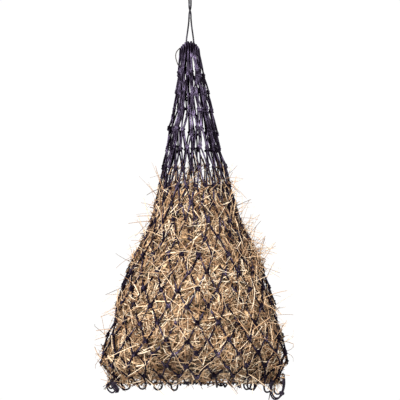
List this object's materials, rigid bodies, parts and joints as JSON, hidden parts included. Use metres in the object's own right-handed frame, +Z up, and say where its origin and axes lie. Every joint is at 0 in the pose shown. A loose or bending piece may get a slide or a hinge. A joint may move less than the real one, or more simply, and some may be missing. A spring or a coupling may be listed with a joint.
{
  "type": "hay net",
  "caption": "Knotted diamond-mesh hay net, filled, drawn shut on its own doubled drawcord and hung from a cord loop, with a laced bottom seam.",
  "frame": {"origin": "the point where the hanging loop bears on its hook", "axes": "+Z up along the hanging cord, X along the bottom seam, -Y towards the side where the cord enters the mouth"},
  "size_m": [0.4819, 0.3096, 1.1044],
  "materials": {
    "drawcord": "matt laid cord",
    "net_twine": "matt laid twine",
    "slack_twine": "worn matt twine",
    "lacing_cord": "matt laid cord",
    "hay": "dry straw and leaf, matt"
  },
  "bodies": {
    "hanger": {"hang_loop": "drawcord", "hang_knot": "drawcord"},
    "cord_pair": {"cord_twist_a": "drawcord", "cord_twist_b": "drawcord"},
    "cord_fork": {"cord_fork_left": "drawcord", "cord_fork_right": "drawcord"},
    "neck": {"draw_ring": "drawcord", "slack_loop": "slack_twine", "net_course_01": "net_twine", "net_course_02": "net_twine", "net_course_03": "net_twine"},
    "bag": {"net_course_04": "net_twine", "net_course_05": "net_twine", "net_course_06": "net_twine", "net_course_07": "net_twine", "net_course_08": "net_twine", "net_course_09": "net_twine", "net_course_10": "net_twine", "net_course_11": "net_twine", "net_course_12": "net_twine", "net_course_13": "net_twine", "net_course_14": "net_twine", "net_course_15": "net_twine", "net_course_16": "net_twine", "net_course_17": "net_twine", "net_course_18": "net_twine", "net_course_19": "net_twine", "net_course_20": "net_twine", "bottom_lacing": "lacing_cord", "corner_tie_left": "lacing_cord", "corner_tie_right": "lacing_cord", "hay_fill": "hay"}
  },
  "joints": [
    {"name": "sway_side", "type": "hinge", "parent": "hanger", "child": "cord_pair", "pos_m": [0, 0, -0.07], "axis": [0, 1, 0], "range_deg": [-35, 35], "deforming": ["cord_twist_a", "cord_twist_b"]},
    {"name": "net_spin", "type": "hinge", "parent": "cord_pair", "child": "cord_fork", "pos_m": [0, 0, -0.118], "axis": [0, 0, 1], "range_deg": [-180, 180], "deforming": ["cord_twist_a", "cord_twist_b"]},
    {"name": "sway_fore_aft", "type": "hinge", "parent": "cord_fork", "child": "neck", "pos_m": [0, -0.008, -0.187], "axis": [1, 0, 0], "range_deg": [-30, 30], "deforming": ["cord_fork_left", "cord_fork_right", "net_course_01"]},
    {"name": "neck_bend", "type": "hinge", "parent": "neck", "child": "bag", "pos_m": [0.006, 0, -0.343], "axis": [0, 1, 0], "range_deg": [-20, 20], "deforming": ["net_course_02", "net_course_03", "net_course_04"]}
  ]
}
